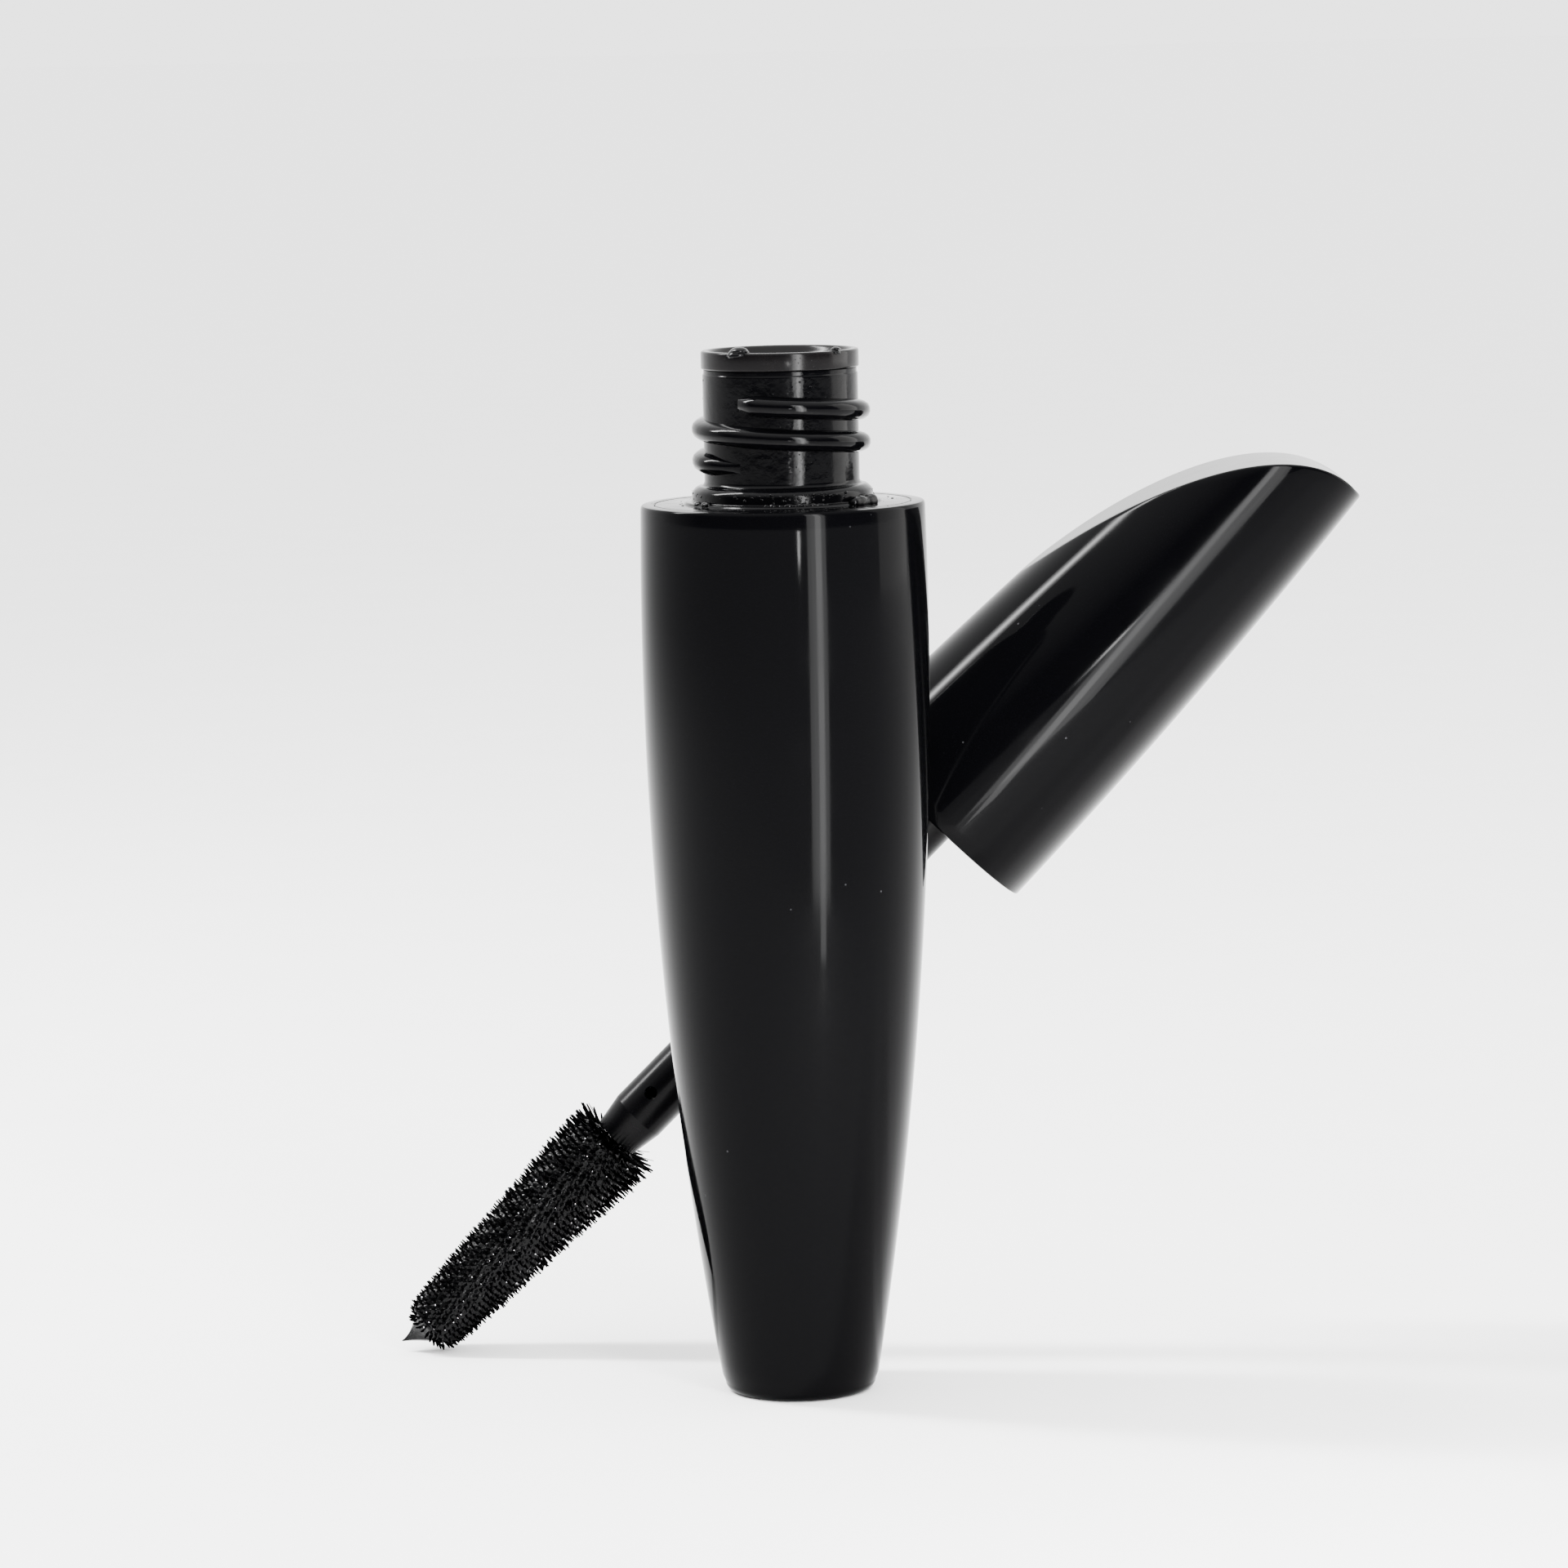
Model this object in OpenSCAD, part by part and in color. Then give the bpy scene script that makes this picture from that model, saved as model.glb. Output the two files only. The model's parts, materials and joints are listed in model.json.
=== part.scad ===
// Mascara tube, shown open: a double-walled tube standing on its base, and the
// cap with its stem and brush resting diagonally behind it.
// Millimetres, +Z up. The tube's axis is the Z axis and its base is at z = 0.
// Applicator parts are drawn in their own frame: the wand's axis is local Z, the
// cap's rim plane is local z = 0, the cap is above it and the brush below it.

/* [Tube] */
// Height from the base to the shoulder
body_h = 72; // [68:0.5:76]
// Largest outer radius of the tube
body_r = 11.5; // [11:0.1:12.5]
// Height at which the tube is widest
widest_z = 62; // [56:0.5:66]
// Radius of the long curve of the tube's side
side_curve_r = 360; // [330:5:420]
// Thickness of the outer tube's wall
shell_wall = 1.1; // [0.8:0.1:1.3]
// Thickness of the outer tube's floor
shell_floor = 2.2; // [1.8:0.1:2.6]
// Rounding of the edge around the base
base_round = 0.8; // [0.5:0.1:1.2]

/* [Inner vial] */
// Thickness of the vial's wall
vial_wall = 0.9; // [0.7:0.1:1.1]
// Outer radius of the neck
neck_r = 6.2; // [6:0.1:6.4]
// Bore radius of the neck
neck_bore_r = 5.3; // [5.2:0.05:5.4]
// Height of the neck above the shoulder, without the wiper's flange
neck_h = 10.7; // [10:0.1:12]
// Radius of the bead around the foot of the neck
bead_r = 7.2; // [7:0.1:7.3]
// Height of that bead
bead_h = 1.5; // [1:0.1:1.8]
// Height from the floor to the top of the formula
fill_z = 66; // [50:0.5:67]
// Radius of the channel that the brush leaves in the formula
channel_r = 4.3; // [4.1:0.1:4.5]

/* [Thread] */
// Rise of the thread in one turn
thread_pitch = 2.53; // [2.3:0.01:2.7]
// How far the thread stands out from the neck
thread_d = 0.92; // [0.7:0.02:0.95]
// Turns of thread on the neck
neck_turns = 2; // [1.5:0.05:2.1]
// Turns of thread inside the cap
liner_turns = 1.5; // [1:0.05:1.6]

/* [Wiper] */
// Radius of the wiper's flange
wiper_flange_r = 6.3; // [6.2:0.05:6.4]
// Thickness of the wiper's flange
wiper_flange_h = 1.45; // [1.2:0.05:1.6]
// Radius of the wiping hole
wiper_hole_r = 2.25; // [2.1:0.05:2.35]
// Length of the wiping lip
wiper_lip_h = 1.2; // [1:0.1:1.6]

/* [Cap] */
// Outer radius of the cap at its rim
cap_r = 9.65; // [9.4:0.05:9.8]
// Height of the cap's tall side
cap_h = 43.4; // [41:0.2:46]
// Thickness of the cap's wall
cap_wall = 0.8; // [0.7:0.05:1.0]
// Lean of the cap's side at its rim, in degrees
cap_lean = 1.3; // [0.8:0.1:1.6]
// Radius of the long curve of the cap's side
cap_curve_r = 540; // [500:10:700]
// Height of the middle of the quarter ellipse that the slanted top follows
slant_z = 7; // [5:0.5:9]

/* [Stem and brush] */
// Radius of the stem
stem_r = 2.38; // [2.2:0.02:2.45]
// Length of stem below the cap's rim
stem_drop = 38; // [36:0.5:40]
// Length of the brush
brush_l = 23; // [21:0.5:24]
// Radius of the brush next to the stem
brush_r = 3.75; // [3.5:0.05:4]
// Radius of the brush at its tip
brush_tip_r = 2.6; // [2.3:0.05:2.9]
// Radius of the twisted wire
wire_r = 0.5; // [0.4:0.02:0.54]

/* [Pose] */
// Angle of the wand above the floor, in degrees
wand_tilt = 44.8; // [43:0.1:46]
// Distance of the cap's rim to the right of the tube's axis
rim_x = 12; // [12:0.1:16]
// Distance of the wand behind the tube's axis
rim_y = 17; // [17:0.1:22]

/* [Hidden] */
$fn = 72;
arc_fn = 720;
eps = 0.01;
fit_gap = 0.05;
slip_gap = 0.3;

// Tube
vial_inset = shell_wall + slip_gap;
cavity_inset = vial_inset + vial_wall;
formula_inset = cavity_inset + fit_gap;
vial_z = shell_floor + slip_gap;
vial_floor = 1;
cavity_z = vial_z + vial_floor;
flange_h = 1.2;
flange_gap = 0.18;
flange_r = side_r(body_h) - shell_wall - flange_gap;
neck_top = body_h + neck_h;
channel_z = 10;
foot_r = side_r(0);

// Thread
thread_w = 1.5;
thread_tip_w = 0.8;
thread_sink = 0.25;
thread_steps = 32;
thread_fade = 0.06;
neck_thread_z = body_h + 8.15;
neck_thread_start = 238;

// Wiper
wiper_tube_r = neck_bore_r - fit_gap;
wiper_bore_r = 4.5;
wiper_top = neck_top + fit_gap + wiper_flange_h;
wiper_foot = body_h + 0.6;
wiper_cone_z = wiper_foot + 2.6;
wiper_lip_t = 0.8;
wiper_seat = 0.15;

// Cap
slant_v = 5.5;
slant_b = 15.3;
slant_a = cap_h - slant_z;
slant_steps = 24;
top_wall = 0.9;
side_room = 30;
rim_lip = 0.25;

// Liner
liner_foot = 2.5;
liner_ceiling = 12.4;
liner_top = 13.8;
liner_r = 7.9;
liner_root_r = 7.35;
liner_thread_d = 0.6;
liner_thread_z = 9.7;
liner_band_h = 1.2;
liner_band_gap = 0.08;
boss_r = 3.4;
boss_top = 19.5;
gasket_r = 7.0;
gasket_bore_r = 5.1;
gasket_h = 0.6;
liner_ribs = 12;
rib_w = 0.6;
rib_l = 1.4;
rib_h = 2.4;
rib_sink = 0.2;

// Stem and brush
stem_top = 18.5;
stem_bore_r = 1.5;
stem_bore_foot = -27;
stem_taper = 2.6;
stem_end_r = 1.95;
wire_hole_r = wire_r + fit_gap;
wire_top = -29;
pin_hole_r = 0.55;
pin_hole_z = -33;
pin_hole_turn = -20;
pin_fn = 32;
brush_gap = 0.1;
brush_top = -stem_drop - brush_gap;
brush_foot = brush_top - brush_l;
brush_round = 0.9;
brush_cut = 0.27 * brush_round;
wire_tip = brush_foot + 0.6;
wire_end_r = 0.35;
wire_chamfer = wire_r - wire_end_r;

// Pose: the brush's lowest edge stands on the floor.
rim_z = -brush_foot * sin(wand_tilt) + (brush_tip_r - brush_cut) * cos(wand_tilt)
        - brush_cut * sin(wand_tilt);

black = [0.02, 0.02, 0.022];
soft_black = [0.06, 0.06, 0.065];
milky = [0.85, 0.85, 0.82];
paste = [0.01, 0.01, 0.012];
wire = [0.55, 0.55, 0.57];

// Outer radius of the tube at height z.
function side_r(z) = body_r - side_curve_r + sqrt(pow(side_curve_r, 2) - pow(z - widest_z, 2));

// Outer radius of the cap at height z above its rim.
cap_curve_z = -cap_curve_r * sin(cap_lean);
cap_curve_x = cap_r - cap_curve_r * cos(cap_lean);
function cap_side_r(z) = cap_curve_x + sqrt(pow(cap_curve_r, 2) - pow(z - cap_curve_z, 2));

// Half of the tube's outline, set in by a wall, between two heights.
module side_half(inset, z0, z1) {
  intersection() {
    translate([body_r - inset - side_curve_r, widest_z])
      circle(r = side_curve_r, $fn = arc_fn);
    translate([0, z0])
      square([2 * body_r, z1 - z0]);
  }
}

// Half of the cap's outline, set in by a wall, between two heights.
module cap_half(inset, z0, z1) {
  intersection() {
    translate([cap_curve_x - inset, cap_curve_z])
      circle(r = cap_curve_r, $fn = arc_fn);
    translate([0, z0])
      square([2 * cap_r, z1 - z0]);
  }
}

// Points of the quarter ellipse that the slanted top follows.
function slant_curve(inset) = [for (i = [0 : slant_steps])
  let (a = 90 - 90 * i / slant_steps)
  [slant_v - (slant_b - inset) * cos(a), slant_z + (slant_a - inset) * sin(a)]];

// What the slanted top leaves of the cap, seen from the side and set in by a wall.
module slant_side(inset) {
  polygon(concat([[-side_room, slant_z], [-side_room, -1],
                  [side_room, -1], [side_room, cap_h - inset]],
                 slant_curve(inset)));
}

module slant_block(inset) {
  translate([0, side_room, 0])
    rotate([90, 0, 0])
      linear_extrude(2 * side_room)
        slant_side(inset);
}

// A ridge that winds down a cylinder, narrow at both ends. side = 1 stands outward
// from the radius r, and side = -1 stands inward from it.
module thread_ridge(r, depth, side, z_start, turns, start) {
  n = round(turns * thread_steps);
  points = [for (i = [0 : n])
    let (
      a = start + 360 * turns * i / n,
      z = z_start - thread_pitch * turns * i / n,
      end = min(i, n - i) / n,
      grow = min(1, 0.25 + end / thread_fade),
      root = r - side * thread_sink,
      tip = r + side * depth * grow
    )
    for (p = [[root, -thread_w / 2], [tip, -thread_tip_w / 2 * grow],
              [tip, thread_tip_w / 2 * grow], [root, thread_w / 2]])
      [p[0] * cos(a), p[0] * sin(a), z + p[1]]];
  flip = side > 0;
  sides = [for (i = [0 : n - 1], k = [0 : 3])
    let (
      a = 4 * i + k,
      b = 4 * i + (k + 1) % 4,
      quad = [a, b, b + 4, a + 4]
    )
    flip ? quad : [quad[3], quad[2], quad[1], quad[0]]];
  first = flip ? [3, 2, 1, 0] : [0, 1, 2, 3];
  last = flip ? [4 * n, 4 * n + 1, 4 * n + 2, 4 * n + 3]
              : [4 * n + 3, 4 * n + 2, 4 * n + 1, 4 * n];
  polyhedron(points, concat([first], sides, [last]), convexity = 6);
}

module on_wand() {
  translate([rim_x, rim_y, rim_z])
    rotate([0, 90 - wand_tilt, 0])
      children();
}

module outer_shell() {
  color(black)
    rotate_extrude()
      difference() {
        union() {
          side_half(0, base_round, body_h);
          square([foot_r - base_round, base_round + eps]);
          translate([foot_r - base_round, base_round])
            circle(r = base_round);
        }
        side_half(shell_wall, shell_floor, body_h + 1);
      }
}

module inner_vial() {
  color(milky) {
    rotate_extrude()
      difference() {
        union() {
          side_half(vial_inset, vial_z, body_h - flange_h);
          translate([0, body_h - flange_h])
            square([flange_r, flange_h]);
          translate([0, body_h - flange_h])
            square([neck_r, neck_h + flange_h]);
          translate([0, body_h - flange_h])
            square([bead_r, bead_h + flange_h]);
        }
        square([2 * body_r, vial_z]);
        side_half(cavity_inset, cavity_z, body_h - flange_h);
        translate([0, widest_z])
          square([neck_bore_r, neck_h + body_h]);
      }
    thread_ridge(neck_r, thread_d, 1, neck_thread_z, neck_turns, neck_thread_start);
  }
}

module wiper() {
  color(soft_black)
    rotate_extrude()
      difference() {
        union() {
          translate([wiper_bore_r - 1, neck_top + fit_gap])
            square([wiper_flange_r - wiper_bore_r + 1, wiper_flange_h]);
          translate([wiper_hole_r, wiper_foot])
            square([wiper_tube_r - wiper_hole_r, neck_top + fit_gap + wiper_seat - wiper_foot]);
        }
        translate([0, wiper_cone_z])
          square([wiper_bore_r, wiper_top - wiper_cone_z + 1]);
        polygon([[0, wiper_foot + wiper_lip_h],
                 [wiper_hole_r, wiper_foot + wiper_lip_h],
                 [wiper_bore_r, wiper_cone_z + eps],
                 [0, wiper_cone_z + eps]]);
        polygon([[wiper_hole_r + wiper_lip_t, wiper_foot - eps],
                 [wiper_tube_r + 1, wiper_foot - eps],
                 [wiper_tube_r + 1, wiper_cone_z],
                 [wiper_tube_r, wiper_cone_z]]);
      }
}

module formula() {
  color(paste)
    rotate_extrude()
      difference() {
        side_half(formula_inset, cavity_z + fit_gap, fill_z);
        translate([0, channel_z])
          square([channel_r, fill_z]);
      }
}

module cap_shell() {
  color(black)
    on_wand()
      difference() {
        intersection() {
          rotate_extrude()
            cap_half(0, 0, cap_h);
          slant_block(0);
        }
        intersection() {
          rotate_extrude()
            cap_half(cap_wall, -1, cap_h - top_wall);
          slant_block(top_wall);
        }
        translate([0, 0, -eps])
          cylinder(h = rim_lip + eps, r1 = cap_r - cap_wall + rim_lip, r2 = cap_r - cap_wall);
      }
}

module cap_liner() {
  band_z = liner_top - liner_band_h;
  color(milky)
    on_wand() {
      rotate_extrude()
        difference() {
          union() {
            translate([0, liner_foot])
              square([liner_r, liner_top - liner_foot]);
            translate([0, liner_foot])
              square([cap_side_r(liner_foot + liner_band_h) - cap_wall - liner_band_gap,
                      liner_band_h]);
            translate([0, band_z])
              square([cap_side_r(liner_top) - cap_wall - liner_band_gap, liner_band_h]);
            translate([0, liner_top - eps])
              square([boss_r, boss_top - liner_top + eps]);
          }
          square([liner_root_r, liner_ceiling]);
          translate([gasket_bore_r - fit_gap, liner_ceiling - eps])
            square([gasket_r - gasket_bore_r + 2 * fit_gap, gasket_h + fit_gap + eps]);
          square([stem_r + fit_gap, stem_top + fit_gap]);
        }
      thread_ridge(liner_root_r, liner_thread_d, -1, liner_thread_z, liner_turns, 0);
      for (i = [0 : liner_ribs - 1])
        rotate([0, 0, 360 / liner_ribs * i])
          translate([boss_r - rib_sink, -rib_w / 2, liner_top - eps])
            cube([rib_l + rib_sink, rib_w, rib_h]);
    }
}

module cap_gasket() {
  color(soft_black)
    on_wand()
      rotate_extrude()
        translate([gasket_bore_r, liner_ceiling])
          square([gasket_r - gasket_bore_r, gasket_h]);
}

module stem() {
  color(black)
    on_wand()
      difference() {
        rotate_extrude()
          difference() {
            polygon([[0, -stem_drop],
                     [stem_end_r, -stem_drop],
                     [stem_r, -stem_drop + stem_taper],
                     [stem_r, stem_top],
                     [0, stem_top]]);
            translate([0, stem_bore_foot])
              square([stem_bore_r, stem_top - stem_bore_foot + 1]);
            translate([0, -stem_drop - 1])
              square([wire_hole_r, wire_top + fit_gap + stem_drop + 1]);
          }
        translate([0, 0, pin_hole_z])
          rotate([90, 0, pin_hole_turn])
            cylinder(h = stem_r + 1, r = pin_hole_r, $fn = pin_fn);
      }
}

module brush_core() {
  color(wire)
    on_wand()
      rotate_extrude()
        difference() {
          translate([0, wire_tip])
            square([wire_r, wire_top - wire_tip]);
          polygon([[wire_end_r, wire_tip - eps],
                   [wire_r + 1, wire_tip - eps],
                   [wire_r + 1, wire_tip + wire_chamfer + 1],
                   [wire_r, wire_tip + wire_chamfer]]);
        }
}

module bristles() {
  color(paste)
    on_wand()
      rotate_extrude()
        polygon([[wire_hole_r, brush_foot],
                 [brush_tip_r - brush_round, brush_foot],
                 [brush_tip_r - brush_cut, brush_foot + brush_cut],
                 [brush_tip_r, brush_foot + brush_round],
                 [brush_r, brush_top - brush_round],
                 [brush_r - brush_round, brush_top],
                 [wire_hole_r, brush_top]]);
}

outer_shell();
inner_vial();
wiper();
formula();
cap_shell();
cap_liner();
cap_gasket();
stem();
brush_core();
bristles();
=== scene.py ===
import json
import math

import bmesh
import bpy
import numpy as np
from mathutils import Matrix, Vector


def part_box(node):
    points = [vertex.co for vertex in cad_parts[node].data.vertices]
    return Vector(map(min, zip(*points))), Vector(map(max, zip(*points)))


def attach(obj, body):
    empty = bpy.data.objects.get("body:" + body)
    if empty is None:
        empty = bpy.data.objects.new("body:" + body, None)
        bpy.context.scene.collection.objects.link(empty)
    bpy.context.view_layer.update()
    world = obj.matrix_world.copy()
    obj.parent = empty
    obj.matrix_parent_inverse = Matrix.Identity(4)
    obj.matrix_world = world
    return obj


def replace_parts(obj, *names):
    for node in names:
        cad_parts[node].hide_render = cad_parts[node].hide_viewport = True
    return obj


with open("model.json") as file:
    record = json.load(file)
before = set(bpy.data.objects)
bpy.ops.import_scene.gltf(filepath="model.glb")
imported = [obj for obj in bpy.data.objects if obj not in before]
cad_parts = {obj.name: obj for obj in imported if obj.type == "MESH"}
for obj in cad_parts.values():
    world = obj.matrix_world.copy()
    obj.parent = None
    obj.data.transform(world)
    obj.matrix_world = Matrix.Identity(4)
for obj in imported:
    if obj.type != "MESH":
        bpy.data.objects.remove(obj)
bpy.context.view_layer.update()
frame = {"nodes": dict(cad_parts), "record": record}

record = frame["record"]
rng = np.random.default_rng(7)
MM = 0.001
TURN = 2 * math.pi


# ---------------------------------------------------------------- where things are
def top_of(node):
    """Height of a CAD node's top, in millimetres."""
    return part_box(node)[1][2] / MM


BODY_H = top_of("outer_shell")
NECK_TOP = top_of("inner_vial")
WIPER_TOP = top_of("wiper")
FORMULA_TOP = top_of("formula")

# Wand frame: local Z runs up the cap, local X points to the cap's tall side, local Y is row +Y.
cap_turn = [j for j in record["behaviour"]["joints"] if j["name"] == "cap_turn"][0]
AXIS = -Vector(cap_turn["axis"]).normalized()
RIM = Vector(cap_turn["pos_m"])
ACROSS = Vector((AXIS.z, 0, -AXIS.x))
WAND = Matrix((
    (ACROSS.x, 0, AXIS.x, RIM.x),
    (ACROSS.y, 1, AXIS.y, RIM.y),
    (ACROSS.z, 0, AXIS.z, RIM.z),
    (0, 0, 0, 1),
))

# ---------------------------------------------------------------- driving dimensions, in millimetres
BODY_R, WIDEST_Z, SIDE_CURVE = 11.5, 62, 360  # the tube's side is one long arc
SHELL_WALL, SHELL_FLOOR, BASE_ROUND = 1.1, 2.2, 0.8
VIAL_INSET, VIAL_WALL = 1.4, 0.9
NECK_R, NECK_BORE, BEAD_R = 6.2, 5.3, 7.2
THREAD_PITCH, THREAD_TURNS, THREAD_START = 2.53, 2.0, 238
WIPER_HOLE, WIPER_FUNNEL, WIPER_FLANGE = 2.25, 4.5, 6.3
CHANNEL_R, CHANNEL_FLOOR = 4.3, 9.9
CAP_R, CAP_H, CAP_LEAN, CAP_CURVE = 9.65, 43.4, math.radians(1.3), 540.0
CAP_WALL, CAP_TOP_WALL = 0.8, 0.9
SLANT_Z, SLANT_V, SLANT_A, SLANT_B = 7.0, 5.5, 36.4, 15.3  # the quarter ellipse that cuts the cap's top
WIRE_TOP, BRUSH_TOP, BRUSH_TIP = -29.3, -38.1, -61.1  # heights on the wand, below the cap's rim
BRUSH_R, BRUSH_TIP_R = 3.72, 2.62


# ---------------------------------------------------------------- material helpers
def material(name, base, rough, **more):
    m = bpy.data.materials.new(name)
    m.use_nodes = True
    nt = m.node_tree
    p = nt.nodes["Principled BSDF"]
    p.inputs["Base Color"].default_value = (*base, 1)
    p.inputs["Roughness"].default_value = rough
    for socket, value in more.items():
        p.inputs[socket.replace("_", " ")].default_value = value
    return m, nt, p


def coords(nt):
    return nt.nodes.new("ShaderNodeTexCoord").outputs["Object"]


def noise(nt, scale, detail=3, stretch=None):
    n = nt.nodes.new("ShaderNodeTexNoise")
    n.inputs["Scale"].default_value = scale
    n.inputs["Detail"].default_value = detail
    where = coords(nt)
    if stretch:
        mapping = nt.nodes.new("ShaderNodeMapping")
        mapping.inputs["Scale"].default_value = stretch
        nt.links.new(where, mapping.inputs["Vector"])
        where = mapping.outputs["Vector"]
    nt.links.new(where, n.inputs["Vector"])
    return n.outputs["Fac"]


def remap(nt, value, low, high, to_low, to_high):
    r = nt.nodes.new("ShaderNodeMapRange")
    for i, x in enumerate((low, high, to_low, to_high), 1):
        r.inputs[i].default_value = x
    nt.links.new(value, r.inputs[0])
    return r.outputs[0]


def combine(nt, operation, a, b):
    m = nt.nodes.new("ShaderNodeMath")
    m.operation = operation
    nt.links.new(a, m.inputs[0])
    nt.links.new(b, m.inputs[1])
    return m.outputs[0]


def mix(nt, fac, a, b):
    x = nt.nodes.new("ShaderNodeMix")
    x.data_type = "RGBA"
    nt.links.new(fac, x.inputs[0])
    x.inputs[6].default_value = (*a, 1)
    x.inputs[7].default_value = (*b, 1)
    return x.outputs[2]


def bump(nt, p, height, strength, distance):
    b = nt.nodes.new("ShaderNodeBump")
    b.inputs["Strength"].default_value = strength
    b.inputs["Distance"].default_value = distance
    nt.links.new(height, b.inputs["Height"])
    nt.links.new(b.outputs["Normal"], p.inputs["Normal"])


def specks(nt, scale, low, high):
    """Scattered small dots: 1 on a dot and 0 between."""
    v = nt.nodes.new("ShaderNodeTexVoronoi")
    v.inputs["Scale"].default_value = scale
    nt.links.new(coords(nt), v.inputs["Vector"])
    near = remap(nt, v.outputs["Distance"], low, high, 1, 0)
    pick = remap(nt, v.outputs["Color"], 0.86, 0.9, 0, 1)
    return combine(nt, "MULTIPLY", near, pick)


# ---------------------------------------------------------------- materials
BLACK = (0.0007, 0.0007, 0.0009)
DUST = (0.025, 0.025, 0.027)


def gloss_black(name, rough=0.06, level=0.029):
    """Polished black plastic with a little dust, handling marks and moulding waves."""
    m, nt, p = material(name, BLACK, rough, Specular_IOR_Level=level)
    nt.links.new(mix(nt, specks(nt, 1100, 0.05, 0.12), BLACK, DUST), p.inputs["Base Color"])
    handled = noise(nt, 160, 5)
    nt.links.new(remap(nt, handled, 0.35, 0.75, rough * 0.8, rough * 2.0), p.inputs["Roughness"])
    bump(nt, p, noise(nt, 70, 2), 0.06, 0.00012)
    return m


def neck_gloss():
    m, nt, p = material("neck_gloss", BLACK, 0.08, Specular_IOR_Level=0.06)
    bump(nt, p, noise(nt, 900, 6), 0.35, 0.00006)
    nt.links.new(remap(nt, noise(nt, 420, 5), 0.4, 0.7, 0.05, 0.18), p.inputs["Roughness"])
    return m


def wiper_rubber():
    m, nt, p = material("wiper_rubber", (0.002, 0.002, 0.0025), 0.16, Specular_IOR_Level=0.08)
    bump(nt, p, noise(nt, 1200, 4), 0.2, 0.00004)
    stained = mix(nt, noise(nt, 500, 4), (0.001, 0.001, 0.0013), (0.0035, 0.003, 0.003))
    nt.links.new(stained, p.inputs["Base Color"])
    return m


def wet_paste():
    m, nt, p = material("wet_paste", (0.0006, 0.0006, 0.0008), 0.09, Specular_IOR_Level=0.09)
    bump(nt, p, noise(nt, 1500, 5), 0.6, 0.00012)
    nt.links.new(remap(nt, noise(nt, 700, 4), 0.35, 0.7, 0.05, 0.3), p.inputs["Roughness"])
    return m


def wet_beads():
    """Bright glints, as mirrors with facets."""
    m, nt, p = material("wet_beads", (0.5, 0.5, 0.52), 0.12, Metallic=1.0)
    nt.links.new(remap(nt, noise(nt, 900, 2), 0.35, 0.7, 0.06, 0.22), p.inputs["Roughness"])
    return m


def fibre_coated():
    m, nt, p = material("fibre_coated", (0.0005, 0.0005, 0.0006), 0.25, Specular_IOR_Level=0.006)
    nt.links.new(remap(nt, noise(nt, 2200, 3), 0.35, 0.7, 0.12, 0.5), p.inputs["Roughness"])
    bump(nt, p, noise(nt, 3500, 3), 0.4, 0.00003)
    return m


def stem_plastic():
    m, nt, p = material("stem_plastic", (0.001, 0.001, 0.0013), 0.2, Specular_IOR_Level=0.06)
    drawn = noise(nt, 260, 3, stretch=(0.4, 1, 0.4))
    nt.links.new(remap(nt, drawn, 0.3, 0.7, 0.14, 0.32), p.inputs["Roughness"])
    bump(nt, p, noise(nt, 500, 3), 0.12, 0.00004)
    return m


def liner_plastic():
    m, nt, p = material("liner_plastic", (0.02, 0.02, 0.022), 0.35)
    mottled = mix(nt, noise(nt, 600, 4), (0.014, 0.014, 0.016), (0.035, 0.034, 0.035))
    nt.links.new(mottled, p.inputs["Base Color"])
    bump(nt, p, noise(nt, 1400, 3), 0.2, 0.00003)
    return m


def gasket_foam():
    m, nt, p = material("gasket_foam", (0.03, 0.03, 0.032), 0.6)
    cells = mix(nt, noise(nt, 2600, 4), (0.02, 0.02, 0.021), (0.06, 0.058, 0.056))
    nt.links.new(cells, p.inputs["Base Color"])
    bump(nt, p, noise(nt, 3000, 3), 0.4, 0.00004)
    return m


def twisted_wire():
    m, nt, p = material("twisted_wire", (0.33, 0.33, 0.34), 0.3, Metallic=1.0)
    stained = mix(nt, noise(nt, 1800, 4), (0.03, 0.03, 0.032), (0.5, 0.5, 0.5))
    nt.links.new(stained, p.inputs["Base Color"])
    return m


def floor_white():
    m, nt, p = material("floor_white", (0.93, 0.93, 0.93), 0.7, Specular_IOR_Level=0.1)
    tone = mix(nt, noise(nt, 60, 4), (0.95, 0.95, 0.95), (0.91, 0.91, 0.91))
    nt.links.new(tone, p.inputs["Base Color"])
    return m


shell_mat = gloss_black("shell_gloss")
cap_mat = gloss_black("cap_gloss", 0.07, 0.036)
neck_mat = neck_gloss()
wiper_mat = wiper_rubber()
paste_mat = wet_paste()
bead_mat = wet_beads()
fibre_mat = fibre_coated()


# ---------------------------------------------------------------- mesh helpers
def circle(r, a, z):
    return (r * math.cos(a), r * math.sin(a), z)


def quads(rings, seg, base=0):
    """Faces between rings of seg points, of which there is one more than rings says."""
    faces = []
    for i in range(rings):
        here, above = base + i * seg, base + (i + 1) * seg
        for k in range(seg):
            k2 = (k + 1) % seg
            faces.append((here + k, here + k2, above + k2, above + k))
    return faces


def end_caps(rings, seg, base=0):
    """Faces that close the first ring and the last."""
    last = base + rings * seg
    return [tuple(base + k for k in range(seg)), tuple(last + k for k in reversed(range(seg)))]


def bend(p0, p1, p2, t):
    """A point on the curve from p0 to p2 that leans towards p1."""
    return p0 * (1 - t) ** 2 + p1 * 2 * t * (1 - t) + p2 * t * t


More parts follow.
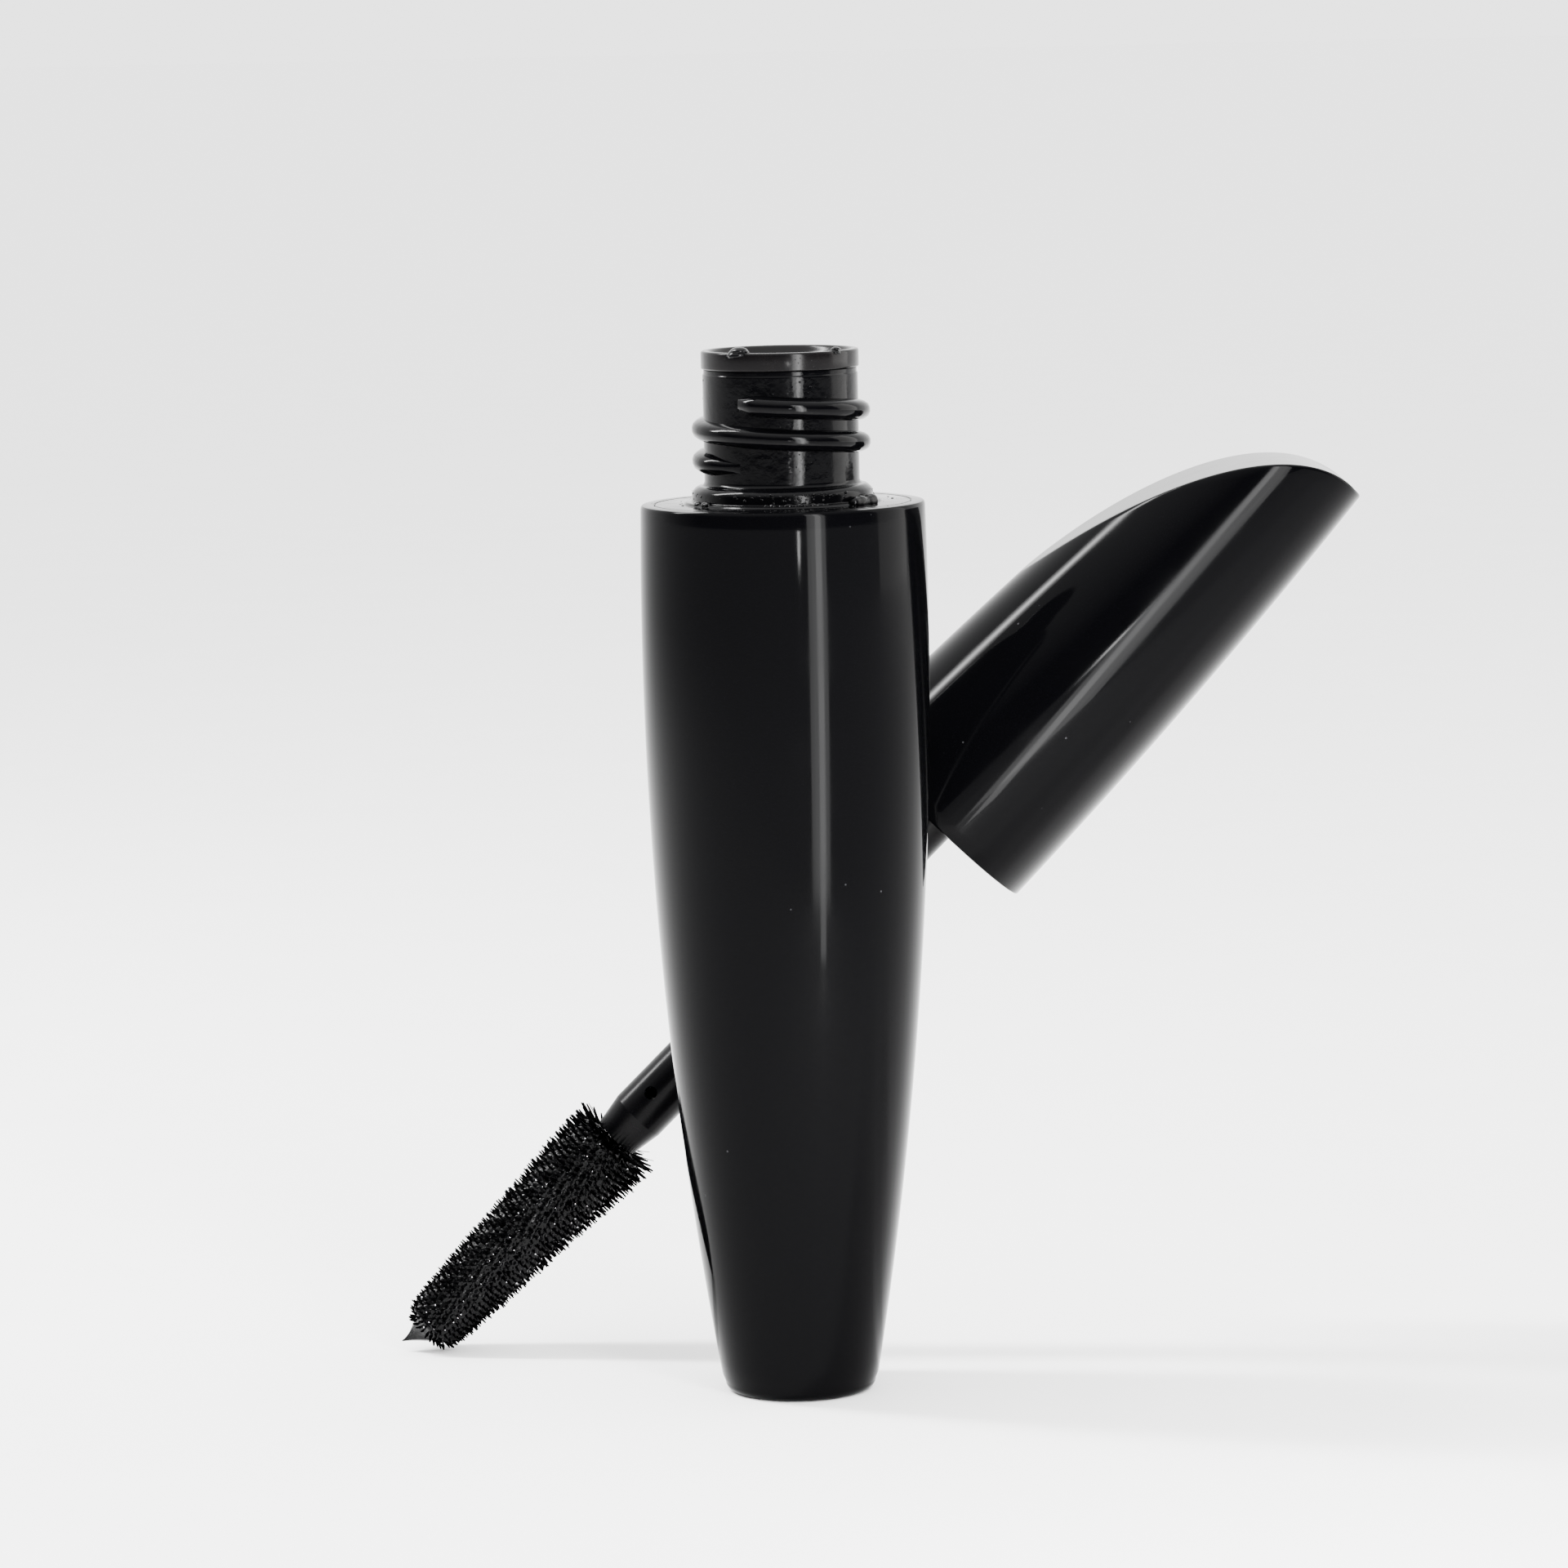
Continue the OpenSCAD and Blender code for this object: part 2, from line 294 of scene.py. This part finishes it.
def place(name, me, mat, body):
    """Puts a mesh in the scene as a piece that rides on a body."""
    me.materials.append(mat)
    me.polygons.foreach_set("use_smooth", [True] * len(me.polygons))
    o = bpy.data.objects.new(name, me)
    bpy.context.scene.collection.objects.link(o)
    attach(o, body)
    return o


def piece(name, verts, faces, mat, body, smooth_angle=0, at=None):
    """A piece from vertices in millimetres. at is the frame they are in, if it isn't the row's."""
    me = bpy.data.meshes.new(name)
    me.from_pydata([tuple(x * MM for x in v) for v in verts], [], faces)
    me.validate()
    if at is not None:
        me.transform(at)
    bm = bmesh.new()
    bm.from_mesh(me)
    bmesh.ops.recalc_face_normals(bm, faces=bm.faces)
    bm.to_mesh(me)
    bm.free()
    o = place(name, me, mat, body)
    if smooth_angle:
        me.set_sharp_from_angle(angle=math.radians(smooth_angle))
    return o


def rounded(points, steps=4):
    """An outline of (r, z), with a third number on each corner that is rounded: its radius."""
    out = []
    for i, point in enumerate(points):
        radius = point[2] if len(point) > 2 else 0
        corner = Vector(point[:2])
        a = Vector(points[i - 1][:2]) - corner
        b = Vector(points[(i + 1) % len(points)][:2]) - corner
        if radius <= 0 or a.length < 1e-6 or b.length < 1e-6:
            out.append(tuple(corner))
            continue
        radius = min(radius, a.length * 0.45, b.length * 0.45)
        p0, p2 = corner + a.normalized() * radius, corner + b.normalized() * radius
        out += [tuple(bend(p0, corner, p2, k / steps)) for k in range(steps + 1)]
    return out


def lathe(name, outline, mat, seg, closed=False):
    """Turns an outline about the tube's axis. A closed outline joins its last point to its first."""
    verts, faces, rows = [], [], []
    for r, z in outline:
        count = 1 if r < 1e-4 else seg
        rows.append(list(range(len(verts), len(verts) + count)))
        verts += [(0, 0, z)] if count == 1 else [circle(r, TURN * k / seg, z) for k in range(seg)]
    pairs = list(zip(rows, rows[1:])) + ([(rows[-1], rows[0])] if closed else [])
    for a, b in pairs:
        if len(a) == 1 and len(b) == 1:
            continue
        for k in range(seg):
            k2 = (k + 1) % seg
            if len(a) == 1:
                faces.append((a[0], b[k2], b[k]))
            elif len(b) == 1:
                faces.append((a[k], a[k2], b[0]))
            else:
                faces.append((a[k], a[k2], b[k2], b[k]))
    return piece(name, verts, faces, mat, "bottle", 35)


# ---------------------------------------------------------------- the tube
def side_r(z):
    """Radius of the tube's side at height z."""
    return BODY_R - SIDE_CURVE + math.sqrt(SIDE_CURVE**2 - (z - WIDEST_Z) ** 2)


def side(inset, z0, z1, n):
    """Points on the tube's side from z0 to z1, moved in by inset."""
    heights = [z0 + (z1 - z0) * i / n for i in range(n + 1)]
    return [(side_r(z) - inset, z) for z in heights]


def outer_tube():
    foot, top = side_r(0), side_r(BODY_H)
    outline = [(0, 0.12), (4.2, 0.12), (4.5, 0.0)]
    for a in np.linspace(0, math.pi / 2, 9):
        outline.append((foot - BASE_ROUND * (1 - math.sin(a)), BASE_ROUND * (1 - math.cos(a))))
    outline += side(0, 1.4, BODY_H - 0.35, 60)
    outline += [(top - 0.03, BODY_H - 0.14), (top - 0.12, BODY_H - 0.03), (top - 0.25, BODY_H)]
    outline += [(top - SHELL_WALL + 0.1, BODY_H), (top - SHELL_WALL, BODY_H - 0.1)]
    outline += reversed(side(SHELL_WALL, SHELL_FLOOR + 0.4, BODY_H - 0.3, 30))
    outline += [(side_r(SHELL_FLOOR) - SHELL_WALL - 0.5, SHELL_FLOOR), (0, SHELL_FLOOR)]
    shell = lathe("outer_tube", outline, shell_mat, 192)
    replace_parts(shell, "outer_shell")


def vial_and_neck():
    """The vial with its shoulder flange, bead and neck, as one moulding."""
    flange = side_r(BODY_H) - SHELL_WALL - 0.06
    back = VIAL_INSET + VIAL_WALL
    low, high = BODY_H - 2.6, BODY_H - 2.2
    outline = [(0, 2.5), (side_r(2.5) - 1.7, 2.5, 0.3)]
    outline += side(VIAL_INSET, 2.9, BODY_H - 1.2, 30)
    outline += [(flange, BODY_H - 1.2, 0.05), (flange, BODY_H, 0.12)]
    outline += [(7.95, BODY_H, 0.1), (7.75, BODY_H + 0.22, 0.1), (7.25, BODY_H + 0.25, 0.1)]
    outline += [(BEAD_R, BODY_H + 1.05, 0.25), (6.75, BODY_H + 1.45, 0.2), (6.35, BODY_H + 1.5, 0.12)]
    outline += [(NECK_R, BODY_H + 1.75, 0.1), (NECK_R, NECK_TOP - 0.45, 0.1)]
    outline += [(NECK_R - 0.08, NECK_TOP - 0.3, 0.05), (NECK_R - 0.08, NECK_TOP, 0.05)]
    outline += [(NECK_BORE, NECK_TOP, 0.05), (NECK_BORE, BODY_H - 1.6, 0.3)]
    outline += [(side_r(high) - back, high, 0.4)]
    outline += reversed(side(back, 4.0, low, 30))
    outline += [(side_r(3.5) - 2.8, 3.5, 0.2), (0, 3.5)]
    vial = lathe("vial_and_neck", rounded(outline), neck_mat, 160)
    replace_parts(vial, "inner_vial")


def neck_thread():
    """A rounded ridge that falls as it turns, squared off at its start and faded at its end."""
    # The ridge's section: how far it stands out, and its height above or below the middle.
    section = [(-0.2, -0.95), (0.1, -0.88), (0.5, -0.76), (0.8, -0.52), (0.93, -0.2)]
    section += [(0.93, 0.16), (0.8, 0.44), (0.5, 0.66), (0.1, 0.8), (-0.2, 0.88)]
    n, m = int(THREAD_TURNS * 90), len(section)
    verts = []
    for i in range(n + 1):
        t = i / n
        a = math.radians(THREAD_START + 360 * THREAD_TURNS * t)
        z = BODY_H + 8.15 - THREAD_PITCH * THREAD_TURNS * t
        grow = min(1, 0.3 + 0.7 * t / 0.022, (1 - t) / 0.05 + 0.02)
        grow = grow * grow * (3 - 2 * grow)
        for out, up in section:
            r = NECK_R + out * (grow if out > 0 else 1)
            verts.append(circle(r, a, z + up * (0.45 + 0.55 * grow)))
    faces = quads(n, m) + end_caps(n, m)
    piece("neck_thread", verts, faces, neck_mat, "bottle", 60)


def wiper_insert():
    """The wiper, whose flange is the band around the mouth."""
    outline = [(WIPER_HOLE, BODY_H + 0.6, 0.15), (3.0, BODY_H + 0.6, 0.2)]
    outline += [(NECK_BORE - 0.05, BODY_H + 3.2, 0.3), (NECK_BORE - 0.05, NECK_TOP - 0.05, 0.05)]
    outline += [(WIPER_FLANGE, NECK_TOP + 0.05, 0.12), (WIPER_FLANGE, WIPER_TOP, 0.22)]
    outline += [(5.75, WIPER_TOP, 0.2), (5.35, WIPER_TOP - 0.55, 0.25)]
    outline += [(WIPER_FUNNEL, WIPER_TOP - 1.5, 0.4), (WIPER_FUNNEL, BODY_H + 3.4, 0.3)]
    outline += [(WIPER_HOLE, BODY_H + 1.8, 0.2)]
    wiper = lathe("wiper_insert", rounded(outline), wiper_mat, 128, closed=True)
    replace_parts(wiper, "wiper")


def mascara_paste():
    """The formula, with the rough channel that the brush left."""
    top = FORMULA_TOP
    outline = [(0, 3.6), (side_r(3.6) - 2.9, 3.6)]
    outline += side(VIAL_INSET + VIAL_WALL + 0.06, 4.2, top - 0.3, 24)
    outline += [(side_r(top) - 2.7, top), (5.2, top - 0.25), (4.6, top - 0.9)]
    outline += [(CHANNEL_R + 0.12 * math.sin(k * 1.7), top - 2 - k * 1.6) for k in range(33)]
    outline += [(2.6, CHANNEL_FLOOR + 0.3), (0, CHANNEL_FLOOR)]
    formula = lathe("mascara_paste", outline, paste_mat, 96)
    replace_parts(formula, "formula")


outer_tube()
vial_and_neck()
neck_thread()
wiper_insert()
mascara_paste()

# ---------------------------------------------------------------- the cap
CAP_SEG = 192
CURVE_X, CURVE_Z = CAP_R - CAP_CURVE * math.cos(CAP_LEAN), -CAP_CURVE * math.sin(CAP_LEAN)


def cap_r(z):
    """Radius of the cap's side at height z."""
    return CURVE_X + math.sqrt(CAP_CURVE**2 - (z - CURVE_Z) ** 2)


def slant_top(v, inset):
    """Height of the slanted top at distance v towards the tall side."""
    if v >= SLANT_V:
        return CAP_H - inset
    q = 1 - ((SLANT_V - v) / (SLANT_B - inset)) ** 2
    return SLANT_Z + (SLANT_A - inset) * math.sqrt(max(0.0, q))


def cap_skin(inset_r, inset_top, z_low, rows, rings, edge, steps=4):
    """One skin of the cap, open at the rim: flank, softened edge and slanted top."""

    def flank(a, z):
        return Vector(circle(cap_r(z) - inset_r, a, z))

    def top(a, r):
        v = r * math.cos(a)
        return Vector((v, r * math.sin(a), slant_top(v, inset_top)))

    def meeting_height(a):
        low, high = 5.0, CAP_H
        for _ in range(50):
            mid = (low + high) / 2
            if mid < slant_top(flank(a, mid).x, inset_top):
                low = mid
            else:
                high = mid
        return low

    angles = [TURN * k / CAP_SEG for k in range(CAP_SEG)]
    ends = [(a, meeting_height(a)) for a in angles]
    verts = []
    for i in range(rows + 1):
        verts += [flank(a, z_low + (z - edge - z_low) * i / rows) for a, z in ends]
    for i in range(1, steps + 1):
        for a, z in ends:
            rim_r = cap_r(z) - inset_r - edge
            verts.append(bend(flank(a, z - edge), flank(a, z), top(a, rim_r), i / steps))
    for i in range(1, rings):
        verts += [top(a, (cap_r(z) - inset_r - edge) * (1 - i / rings)) for a, z in ends]
    total = rows + steps + rings - 1
    verts.append(Vector((0, 0, slant_top(0, inset_top))))
    last, middle = total * CAP_SEG, len(verts) - 1
    faces = quads(total, CAP_SEG)
    faces += [(last + k, last + (k + 1) % CAP_SEG, middle) for k in range(CAP_SEG)]
    return verts, faces


def cap_outer():
    """The cap: an outer skin, an inner skin and the rounded lip between them."""
    verts, faces = cap_skin(0.0, 0.0, 0.18, 40, 24, 0.28)
    inner, inner_faces = cap_skin(CAP_WALL, CAP_TOP_WALL, 0.22, 30, 14, 0.3)
    first = len(verts)
    faces += [tuple(first + i for i in reversed(f)) for f in inner_faces]
    verts += inner
    rows = [0]
    for inset, z in ((0.04, 0.05), (0.15, 0.0), (0.6, 0.0), (0.74, 0.06)):
        rows.append(len(verts))
        verts += [circle(CAP_R - inset, TURN * k / CAP_SEG, z) for k in range(CAP_SEG)]
    rows.append(first)
    for a, b in zip(rows, rows[1:]):
        for k in range(CAP_SEG):
            k2 = (k + 1) % CAP_SEG
            faces.append((a + k, b + k, b + k2, a + k2))
    cap = piece("cap_outer", verts, faces, cap_mat, "applicator", 40, WAND)
    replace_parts(cap, "cap_shell")


cap_outer()
# The hidden and plain turned parts keep their CAD shape and get a finished surface.
for node, mat in (("cap_liner", liner_plastic()), ("cap_gasket", gasket_foam()), ("stem", stem_plastic())):
    materials = frame["nodes"][node].data.materials
    materials.clear()
    materials.append(mat)


# ---------------------------------------------------------------- the brush
def along(z):
    """How far down the bristles z is: 0 next to the stem and 1 at the tip."""
    return (BRUSH_TOP - z) / (BRUSH_TOP - BRUSH_TIP)


def envelope(z):
    """Radius of the bristle tips at height z on the wand."""
    t = along(z)
    r = BRUSH_R + (BRUSH_TIP_R - BRUSH_R) * t
    r *= (1.13 - 0.13 * t**3) * (1 + 0.02 * math.sin(9 * t + 0.7))
    if t > 0.95:
        r *= 1 - 0.35 * ((t - 0.95) / 0.05) ** 2
    return r


def twisted_core():
    """The wire: two strands wound round each other."""
    n, m, pitch, strand_r = 260, 8, 1.5, 0.25
    bottom = BRUSH_TIP + 0.45
    verts, faces = [], []
    for strand in range(2):
        base = len(verts)
        for i in range(n + 1):
            z = WIRE_TOP + (bottom - WIRE_TOP) * i / n
            x, y, z = circle(0.24, TURN * z / pitch + math.pi * strand, z)
            ring = [circle(strand_r, TURN * k / m, z) for k in range(m)]
            verts += [(x + p, y + q, height) for p, q, height in ring]
        faces += quads(n, m, base) + end_caps(n, m, base)
    core = piece("twisted_core", verts, faces, twisted_wire(), "applicator", 60, WAND)
    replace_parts(core, "brush_core")


def spikes(name, items, sides, rings):
    """Tapered, bent fibres. items holds (root, direction, sag, length, root radius, tip radius)."""
    verts, faces = [], []
    for root, direction, sag, length, root_r, tip_r in items:
        d = Vector(direction).normalized()
        u = d.cross(Vector((0.31, 0.17, 0.93))).normalized()
        w = d.cross(u)
        base = len(verts)
        for i in range(rings + 1):
            t = i / rings
            middle = Vector(root) + d * (length * t) + Vector(sag) * (t * t)
            r = root_r + (tip_r - root_r) * t**0.8
            for k in range(sides):
                b = TURN * k / sides
                verts.append(middle + (u * math.cos(b) + w * math.sin(b)) * r)
        faces += quads(rings, sides, base) + end_caps(rings, sides, base)
    return piece(name, verts, faces, fibre_mat, "applicator", 0, WAND)


def bristles():
    """Rows of combed clumps, thin hairs between them and wet glints on some of their tips."""
    clumps, hairs, glints = [], [], []
    rows, per_row = 46, 24
    for i in range(rows):
        for k in range(per_row):
            z = BRUSH_TOP - 0.3 - (BRUSH_TOP - BRUSH_TIP - 0.6) * (i + rng.normal(0, 0.04)) / (rows - 1)
            z = min(BRUSH_TOP - 0.1, max(BRUSH_TIP + 0.15, z))
            a = TURN * (k + rng.normal(0, 0.06)) / per_row
            t, full_r = along(z), envelope(z)
            root_r = full_r * 0.55
            length = full_r * (0.985 + rng.uniform(-0.035, 0.03)) - root_r
            lean = 0.12 * (0.5 - t) + rng.normal(0, 0.02)
            lean -= 0.35 if t > 0.97 else 0
            lean += 0.25 if t < 0.03 else 0
            root = circle(root_r, a, z - lean * 0.3)
            direction = circle(1, a, lean)
            sag = (rng.normal(0, 0.02), rng.normal(0, 0.02), rng.normal(0, 0.03))
            clumps.append((root, direction, sag, length, 0.21, 0.07))
            if rng.random() < 0.24:
                reach = Vector(direction).normalized() * length * rng.uniform(0.9, 1.04)
                glints.append((Vector(root) + reach + Vector(sag), rng.uniform(0.06, 0.11)))
            if rng.random() < 0.06:
                a2, z2 = a + rng.normal(0, 0.05), z + rng.normal(0, 0.1)
                far = full_r * rng.uniform(0.97, 1.02)
                direction = circle(1, a2, lean + rng.normal(0, 0.05))
                sag = (rng.normal(0, 0.06), rng.normal(0, 0.06), rng.normal(0, 0.08))
                hairs.append((circle(root_r, a2, z2), direction, sag, far - root_r, 0.07, 0.025))
    # Longer stray fibres next to the stem.
    for _ in range(36):
        a = rng.uniform(0, TURN)
        z = BRUSH_TOP - rng.uniform(0.0, 1.0)
        direction = circle(1, a, rng.uniform(0.0, 0.35))
        sag = (rng.normal(0, 0.15), rng.normal(0, 0.15), rng.uniform(0.0, 0.35))
        hairs.append((circle(1.4, a, z), direction, sag, rng.uniform(2.1, 2.6), 0.09, 0.03))
    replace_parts(spikes("bristle_clumps", clumps, 6, 4), "bristles")
    spikes("bristle_fibres", hairs, 3, 3)
    return glints


def brush_beads(glints):
    """Small wet beads that sit on the bristles, each with eight facets."""
    verts, faces = [], []
    for c, r in glints:
        base = len(verts)
        for step in (Vector((r, 0, 0)), Vector((0, r, 0)), Vector((0, 0, r))):
            verts += [c + step, c - step]
        for pole in (4, 5):
            for i, j in ((0, 2), (2, 1), (1, 3), (3, 0)):
                faces.append((base + i, base + j, base + pole))
    piece("brush_beads", verts, faces, bead_mat, "applicator", 0, WAND)


def brush_product():
    """Product held between the bristles: a lumpy sleeve with a closed end."""
    n, m = 150, 96
    top, bottom = BRUSH_TOP - 0.15, BRUSH_TIP + 0.35
    verts = []
    for i in range(n + 1):
        t = i / n
        z = top + (bottom - top) * t
        closing = min(1, 0.55 + (t / 0.03) * 0.45, (1 - t) / 0.02 * 0.5 + 0.45)
        for k in range(m):
            a = TURN * k / m
            part = 0.74 + 0.07 * math.sin(26 * a + i * 0.5) * math.sin(i * 46 / n * math.pi)
            part += 0.05 * math.sin(5 * a + 0.21 * i) * math.sin(0.33 * i + 2 * a) + 0.06 * t
            verts.append(circle(envelope(z) * part * closing, a, z))
    faces = quads(n, m) + end_caps(n, m)
    piece("brush_product", verts, faces, paste_mat, "applicator", 0, WAND)


def tip_product():
    """A pointed gather of product at the brush's tip, drawn out to one side."""
    n, m = 26, 40
    start, apex = Vector((0.0, 0.0, BRUSH_TIP + 1.2)), Vector((-0.95, -0.1, BRUSH_TIP - 1.85))
    verts = []
    for i in range(n + 1):
        t = i / n
        middle = start.lerp(apex, t * t * 0.55 + t * 0.45)
        middle.z = start.z + (apex.z - start.z) * t
        r = 0.07 + 2.45 * (1 - t) ** 1.45 * min(1, 0.85 + t * 1.5)
        for k in range(m):
            a = TURN * k / m
            wave = 1 + 0.07 * math.sin(3 * a + 1.1) * (1 - t) + 0.04 * math.sin(7 * a + 4 * t)
            verts.append(middle + Vector(circle(r * wave, a, 0.1 * math.sin(2 * a + 0.4) * (1 - t))))
    faces = quads(n, m) + end_caps(n, m)
    piece("tip_product", verts, faces, paste_mat, "applicator", 0, WAND)


twisted_core()
brush_beads(bristles())
brush_product()
tip_product()


# ---------------------------------------------------------------- wet residue on the neck
def shoulder_residue():
    """Wet product in the corner under the bead, as metaballs turned into a mesh."""
    mb = bpy.data.metaballs.new("residue_balls")
    mb.resolution = 0.12
    mb.render_resolution = 0.12
    mb.threshold = 0.3
    # Stretches of the corner: first and last angle, distance from the axis, size.
    stretches = [(318, 338, 7.75, 0.75), (205, 222, 7.6, 0.5), (262, 300, 7.45, 0.4)]
    stretches += [(20, 60, 7.5, 0.5), (120, 160, 7.5, 0.45)]
    for first, last, r, size in stretches:
        for degrees in np.arange(first, last, 3.0):
            a = math.radians(degrees + rng.normal(0, 0.8))
            ball_r = size * (0.65 + 0.5 * rng.random())
            ball = mb.elements.new()
            ball.co = circle(r, a, BODY_H + 0.1 + 0.15 * ball_r)
            ball.radius = ball_r
    balls = bpy.data.objects.new("residue_balls", mb)
    bpy.context.scene.collection.objects.link(balls)
    bpy.context.view_layer.update()
    depsgraph = bpy.context.evaluated_depsgraph_get()
    me = bpy.data.meshes.new_from_object(balls.evaluated_get(depsgraph))
    bpy.data.objects.remove(balls)
    me.name = "shoulder_residue"
    me.transform(Matrix.Scale(MM, 4))
    me.materials.clear()
    place("shoulder_residue", me, paste_mat, "bottle")


def droplets(name, spots):
    """Small flattened beads on a surface. spots holds (place, normal, radius)."""
    rings, seg, flatness = 4, 8, 0.55
    verts, faces = [], []
    for spot, normal, r in spots:
        normal = Vector(normal).normalized()
        u = normal.orthogonal().normalized()
        w = normal.cross(u)
        middle = Vector(spot) - normal * 0.02
        base = len(verts)
        for i in range(rings):
            t = i / rings * math.pi / 2
            for k in range(seg):
                b = TURN * k / seg
                out = (u * math.cos(b) + w * math.sin(b)) * (r * math.cos(t))
                verts.append(middle + out + normal * (flatness * r * math.sin(t)))
        verts.append(middle + normal * flatness * r)
        last, peak = base + (rings - 1) * seg, len(verts) - 1
        faces += quads(rings - 1, seg, base)
        faces += [(last + k, last + (k + 1) % seg, peak) for k in range(seg)]
        faces.append(tuple(base + k for k in reversed(range(seg))))
    piece(name, verts, faces, paste_mat, "bottle")


def splashes():
    """Fine splashes, more of them at the front: on the bead, the shoulder, the neck and the wiper."""
    spots = []
    for _ in range(520):
        a = rng.uniform(0, TURN)
        if rng.random() < 0.5:
            a = math.radians(rng.normal(284, 16))
        outward, up = circle(1, a, 0), (0, 0, 1)
        pick = rng.random()
        size = float(rng.choice([0.05, 0.07, 0.1, 0.14], p=[0.45, 0.3, 0.17, 0.08]))
        if pick < 0.42:
            spots.append((circle(BEAD_R + 0.01, a, BODY_H + 0.3 + 0.8 * rng.random()), outward, size))
        elif pick < 0.66:
            r = 7.95 + rng.exponential(0.7)
            if r < 10.8:
                spots.append((circle(r, a, BODY_H), up, size))
        elif pick < 0.9:
            z = rng.uniform(BODY_H + 1.9, NECK_TOP - 0.6)
            spots.append((circle(NECK_R, a, z), outward, size * 0.8))
        else:
            z = rng.uniform(NECK_TOP + 0.3, WIPER_TOP - 0.3)
            spots.append((circle(WIPER_FLANGE, a, z), outward, size * 0.6))
    return spots


def rim_drops():
    """Larger drops on the wiper's rim: angle, distance from the axis, size."""
    spots = []
    drops = [(236.5, 5.95, 0.95), (233.5, 6.0, 0.6), (240, 6.0, 0.55), (316, 6.05, 0.5), (319, 6.05, 0.3)]
    for degrees, r, size in drops:
        a = math.radians(degrees)
        spots.append((circle(r, a, WIPER_TOP - 0.12), circle(0.25, a, 1), size))
        spots.append((circle(r, a + 0.02, WIPER_TOP + 0.1), (0, 0, 1), size * 0.8))
    return spots


shoulder_residue()
droplets("neck_beads", splashes() + rim_drops())


# ---------------------------------------------------------------- floor, light, camera, in metres
def floor():
    half = 15
    me = bpy.data.meshes.new("floor")
    corners = [(-half, -half, 0), (half, -half, 0), (half, half, 0), (-half, half, 0)]
    me.from_pydata(corners, [], [(0, 1, 2, 3)])
    me.materials.append(floor_white())
    o = bpy.data.objects.new("floor", me)
    bpy.context.scene.collection.objects.link(o)
    o.location = (0, 0, -0.00002)


def studio():
    """A surround that is dark behind the camera and bright at the back and overhead."""
    world = bpy.data.worlds.new("studio")
    bpy.context.scene.world = world
    world.use_nodes = True
    nt = world.node_tree
    background = nt.nodes["Background"]
    where = nt.nodes.new("ShaderNodeTexCoord")
    split = nt.nodes.new("ShaderNodeSeparateXYZ")
    nt.links.new(where.outputs["Generated"], split.inputs[0])
    back = remap(nt, split.outputs["Y"], -0.3, 0.4, 0.03, 3.0)
    overhead = remap(nt, split.outputs["Z"], 0.35, 0.95, 0.0, 5.0)
    background.inputs["Color"].default_value = (1, 1, 1, 1)
    nt.links.new(combine(nt, "MAXIMUM", back, overhead), background.inputs["Strength"])


def area(name, loc, target, size, watts, colour=(1, 1, 1)):
    light = bpy.data.lights.new(name, "AREA")
    light.shape = "RECTANGLE"
    light.size, light.size_y = size
    light.energy = watts
    light.color = colour
    o = bpy.data.objects.new(name, light)
    bpy.context.scene.collection.objects.link(o)
    o.location = loc
    o.rotation_euler = (Vector(target) - Vector(loc)).to_track_quat("-Z", "Y").to_euler()


def lights():
    """Nested strips give each streak a bright middle and soft sides."""
    area("streak_near", (0.0565, -0.113, 0.08), (0, 0, 0.08), (0.01, 0.156), 0.14)
    for width, watts in ((0.026, 0.5), (0.044, 0.7)):
        name = "streak_%d" % (width * 1000)
        area(name, (0.074, -0.155, 0.11), (0, 0, 0.11), (width, 0.22), watts)
    for width, watts in ((0.025, 2.6), (0.055, 2.4), (0.09, 1.2)):
        name = "cap_streak_%d" % (width * 1000)
        area(name, (-0.28, 0.085, 0.368), (0.025, 0.012, 0.06), (width, 0.26), watts)
    area("sparkle", (0.076, -0.36, 0.055), (0, 0, 0.075), (0.012, 0.012), 0.1)
    area("right_card", (0.75, 0.12, 0.25), (0, 0, 0.05), (0.5, 0.9), 7, (1, 0.985, 0.96))


def camera():
    data = bpy.data.cameras.new("camera")
    data.lens = 144.18
    data.sensor_width = 36
    data.clip_start = 0.02
    data.clip_end = 60
    pitch, roll, pan = math.radians(7.059), math.radians(-1.196), math.radians(-0.041)
    ahead = Vector((math.sin(pan) * math.cos(pitch), math.cos(pan) * math.cos(pitch), -math.sin(pitch)))
    level = ahead.cross(Vector((0, 0, 1))).normalized()
    upright = level.cross(ahead)
    right = level * math.cos(roll) + upright * math.sin(roll)
    up = upright * math.cos(roll) - level * math.sin(roll)
    cam = bpy.data.objects.new("camera", data)
    bpy.context.scene.collection.objects.link(cam)
    bpy.context.scene.camera = cam
    turned = Matrix((right, up, -ahead)).transposed().to_4x4()
    cam.matrix_world = Matrix.Translation((0, -0.5, 0.11124)) @ turned


floor()
studio()
lights()
camera()
